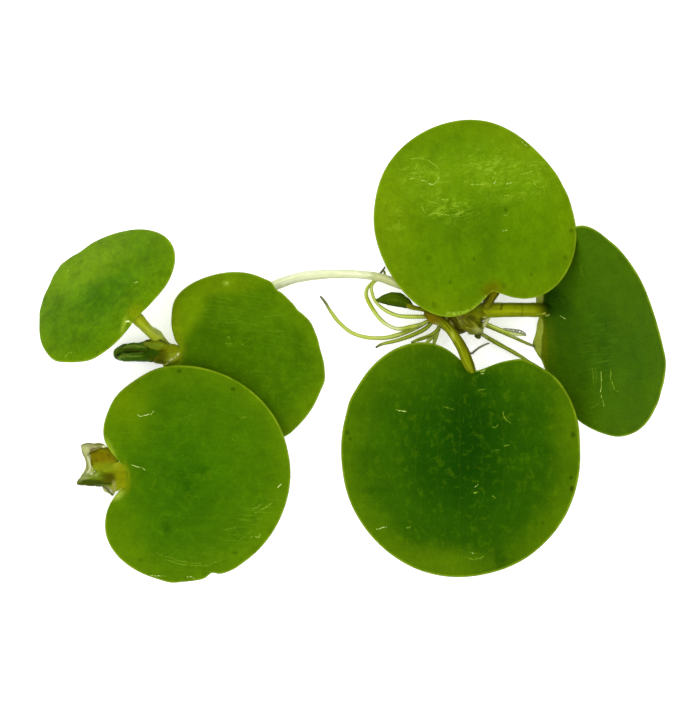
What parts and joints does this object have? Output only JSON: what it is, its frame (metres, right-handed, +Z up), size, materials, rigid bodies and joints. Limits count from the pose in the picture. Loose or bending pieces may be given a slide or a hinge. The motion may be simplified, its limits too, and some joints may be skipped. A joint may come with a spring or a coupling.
{
  "type": "amazon frogbit plant",
  "caption": "Floating pond plant laid on a surface: round waxy leaves on short stalks, a root tuft, and a daughter plant joined by a runner.",
  "frame": {"origin": "middle of the plant's footprint on the surface it lies on", "axes": "+X towards the mother rosette's side leaf, +Y away from the viewer, +Z up from the surface"},
  "size_m": [0.0768, 0.059, 0.0142],
  "materials": {
    "leaf_bright": "wet, waxy yellow-green leaf with a pale rim",
    "leaf_dark": "wet, waxy deep green leaf with a pale rim",
    "leaf_mid": "wet, waxy mid-green leaf",
    "stalk": "fleshy yellow-olive stalk, glossy",
    "stolon": "pale, see-through whitish-green runner",
    "root": "pale yellow-green root, grey-brown at the tip",
    "crown": "olive-brown stalk bases",
    "scale": "papery, see-through scale",
    "young": "dark green young blade, glossy"
  },
  "bodies": {
    "root": {"crown_mother": "crown", "crown_daughter": "crown", "crown_offset": "crown", "leaf_top": "leaf_bright", "leaf_bottom": "leaf_dark", "leaf_right": "leaf_dark", "leaf_left_upper": "leaf_mid", "leaf_left_middle": "leaf_mid", "leaf_left_lower": "leaf_bright", "leaf_young": "young", "leaf_rolled": "young", "stalk_top": "stalk", "stalk_right": "stalk", "stalk_bottom": "stalk", "stalk_young": "stalk", "stalk_left_upper": "stalk", "stalk_left_lower": "stalk", "stolon_long": "stolon", "stolon_short": "stolon", "scale_mother": "scale", "scale_offset_upper": "scale", "scale_offset_lower": "scale", "root_long": "root", "root_looped": "root", "root_inner": "root", "root_low": "root", "root_short": "root", "root_under_left": "root", "root_under_far_left": "root", "root_right_lower": "root", "root_right_upper": "root", "root_bristly": "root", "root_thread": "root"}
  },
  "joints": []
}
